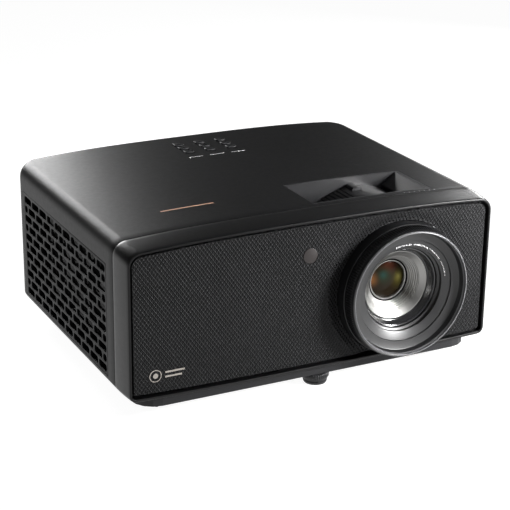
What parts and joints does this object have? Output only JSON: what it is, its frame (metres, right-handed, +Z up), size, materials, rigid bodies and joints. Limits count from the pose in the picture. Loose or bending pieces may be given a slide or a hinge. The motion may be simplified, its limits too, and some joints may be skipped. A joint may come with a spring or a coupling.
{
  "type": "home projector",
  "caption": "Compact black laser home projector with an off-centre zoom lens, zoom dial in a top recess, keypad, slotted side vents and rear sockets.",
  "frame": {"origin": "on the ground, under the middle of the whole object's box", "axes": "+X to the right as seen from the front, +Y from the lens side to the back, +Z up"},
  "size_m": [0.3408, 0.2832, 0.1539],
  "materials": {
    "case_plastic": "fine moulded grain, satin",
    "bezel_plastic": "fine satin",
    "underside_plastic": "coarse moulded grain",
    "grille_plastic": "fine moulded grain",
    "panel_plastic": "dimpled, satin",
    "well_plastic": "satin",
    "key_plastic": "smooth satin",
    "light_white": "translucent white",
    "ir_tinted": "dark tinted, glossy",
    "lens_plastic": "smooth and ribbed, satin",
    "lens_ring_plastic": "satin",
    "cell_metal": "black, semi-gloss",
    "trim_chrome": "bright stepped",
    "coated_glass": "coated",
    "clear_glass": "clear",
    "socket_metal": "nickel plated",
    "inlet_plastic": "satin",
    "circuit_board": "green solder mask",
    "supply_board": "brown laminate",
    "fin_aluminium": "bare",
    "cast_aluminium": "as cast",
    "laser_brass": "bare",
    "phosphor_yellow": "phosphor coated disc",
    "fan_plastic": "satin",
    "foot_plastic": "satin",
    "foot_rubber": "matt",
    "screw_steel": "zinc plated"
  },
  "bodies": {
    "case": {"audio_jack": "inlet_plastic", "bottom_tray": "underside_plastic", "case_screw_1": "screw_steel", "case_screw_2": "screw_steel", "case_screw_3": "screw_steel", "case_screw_4": "screw_steel", "dmd_board": "circuit_board", "dmd_heat_sink": "fin_aluminium", "fan_frame_1": "fan_plastic", "fan_frame_2": "fan_plastic", "front_bezel": "bezel_plastic", "front_panel": "panel_plastic", "hdmi_port_1": "socket_metal", "hdmi_port_2": "socket_metal", "ir_board": "circuit_board", "ir_window": "ir_tinted", "key_board": "circuit_board", "lan_port": "socket_metal", "laser_heat_sink": "fin_aluminium", "laser_module": "laser_brass", "left_vent_grille": "grille_plastic", "lens_barrel": "cell_metal", "lens_collar": "lens_plastic", "lens_front_ring": "lens_ring_plastic", "light_engine_housing": "cast_aluminium", "light_guide": "light_white", "main_board": "circuit_board", "phosphor_motor": "cast_aluminium", "power_inlet": "inlet_plastic", "power_supply": "supply_board", "rear_foot_left": "foot_rubber", "rear_foot_right": "foot_rubber", "rear_panel": "grille_plastic", "right_vent_grille": "grille_plastic", "speaker": "fan_plastic", "top_cover": "case_plastic", "usb_port": "socket_metal", "zoom_well": "well_plastic"},
    "focus_ring": {"focus_ring": "lens_plastic"},
    "focus_group": {"focus_cell": "cell_metal", "lens_trim_ring": "trim_chrome", "front_lens": "coated_glass"},
    "zoom_ring": {"zoom_ring": "lens_plastic"},
    "zoom_group": {"zoom_cell": "cell_metal", "zoom_lens": "clear_glass"},
    "fan_1": {"fan_rotor_1": "fan_plastic"},
    "fan_2": {"fan_rotor_2": "fan_plastic"},
    "phosphor_wheel": {"phosphor_wheel": "phosphor_yellow"},
    "front_foot_stud": {"front_foot_stud": "screw_steel"},
    "front_foot_knob": {"front_foot_knob": "foot_plastic"},
    "key_left": {"key_left": "key_plastic"},
    "key_down": {"key_down": "key_plastic"},
    "key_right": {"key_right": "key_plastic"},
    "key_source": {"key_source": "key_plastic"},
    "key_enter": {"key_enter": "key_plastic"},
    "key_back": {"key_back": "key_plastic"},
    "key_power": {"key_power": "key_plastic"},
    "key_up": {"key_up": "key_plastic"},
    "key_menu": {"key_menu": "key_plastic"}
  },
  "joints": [
    {"name": "focus_turn", "type": "hinge", "parent": "case", "child": "focus_ring", "pos_m": [0.0807, -0.1244, 0.0778], "axis": [0, 1, 0], "range_deg": [-60, 60]},
    {"name": "focus_travel", "type": "slide", "parent": "case", "child": "focus_group", "axis": [0, 1, 0], "range_m": [-0.002, 0.002]},
    {"name": "zoom_turn", "type": "hinge", "parent": "case", "child": "zoom_ring", "pos_m": [0.0807, -0.1244, 0.0778], "axis": [0, 1, 0], "range_deg": [-12, 12]},
    {"name": "zoom_travel", "type": "slide", "parent": "case", "child": "zoom_group", "axis": [0, 1, 0], "range_m": [-0.004, 0.004]},
    {"name": "fan_1_spin", "type": "hinge", "parent": "case", "child": "fan_1", "pos_m": [-0.1445, -0.0424, 0.0764], "axis": [1, 0, 0], "continuous": true},
    {"name": "fan_2_spin", "type": "hinge", "parent": "case", "child": "fan_2", "pos_m": [-0.1445, 0.0466, 0.0764], "axis": [1, 0, 0], "continuous": true},
    {"name": "phosphor_spin", "type": "hinge", "parent": "case", "child": "phosphor_wheel", "pos_m": [0.0131, 0.0406, 0.0664], "axis": [1, 0, 0], "continuous": true},
    {"name": "foot_screw", "type": "hinge", "parent": "front_foot_stud", "child": "front_foot_knob", "pos_m": [0.007, -0.1104, 0.0109], "axis": [0, 0, 1], "range_deg": [0, 1440]},
    {"name": "foot_travel", "type": "slide", "parent": "case", "child": "front_foot_stud", "axis": [0, 0, -1], "range_m": [0, 0.006]},
    {"name": "key_left_press", "type": "slide", "parent": "case", "child": "key_left", "axis": [0, 0, -1], "range_m": [0, 0.0008], "stiffness_N_per_m": 1200},
    {"name": "key_down_press", "type": "slide", "parent": "case", "child": "key_down", "axis": [0, 0, -1], "range_m": [0, 0.0008], "stiffness_N_per_m": 1200},
    {"name": "key_right_press", "type": "slide", "parent": "case", "child": "key_right", "axis": [0, 0, -1], "range_m": [0, 0.0008], "stiffness_N_per_m": 1200},
    {"name": "key_source_press", "type": "slide", "parent": "case", "child": "key_source", "axis": [0, 0, -1], "range_m": [0, 0.0008], "stiffness_N_per_m": 1200},
    {"name": "key_enter_press", "type": "slide", "parent": "case", "child": "key_enter", "axis": [0, 0, -1], "range_m": [0, 0.0008], "stiffness_N_per_m": 1200},
    {"name": "key_back_press", "type": "slide", "parent": "case", "child": "key_back", "axis": [0, 0, -1], "range_m": [0, 0.0008], "stiffness_N_per_m": 1200},
    {"name": "key_power_press", "type": "slide", "parent": "case", "child": "key_power", "axis": [0, 0, -1], "range_m": [0, 0.0008], "stiffness_N_per_m": 1200},
    {"name": "key_up_press", "type": "slide", "parent": "case", "child": "key_up", "axis": [0, 0, -1], "range_m": [0, 0.0008], "stiffness_N_per_m": 1200},
    {"name": "key_menu_press", "type": "slide", "parent": "case", "child": "key_menu", "axis": [0, 0, -1], "range_m": [0, 0.0008], "stiffness_N_per_m": 1200}
  ],
  "couplings": [
    {"joint": "focus_travel", "follows": "focus_turn", "m_per_rad": 0.0019},
    {"joint": "zoom_travel", "follows": "zoom_turn", "m_per_rad": 0.019},
    {"joint": "foot_travel", "follows": "foot_screw", "m_per_rad": 0.0002387}
  ]
}
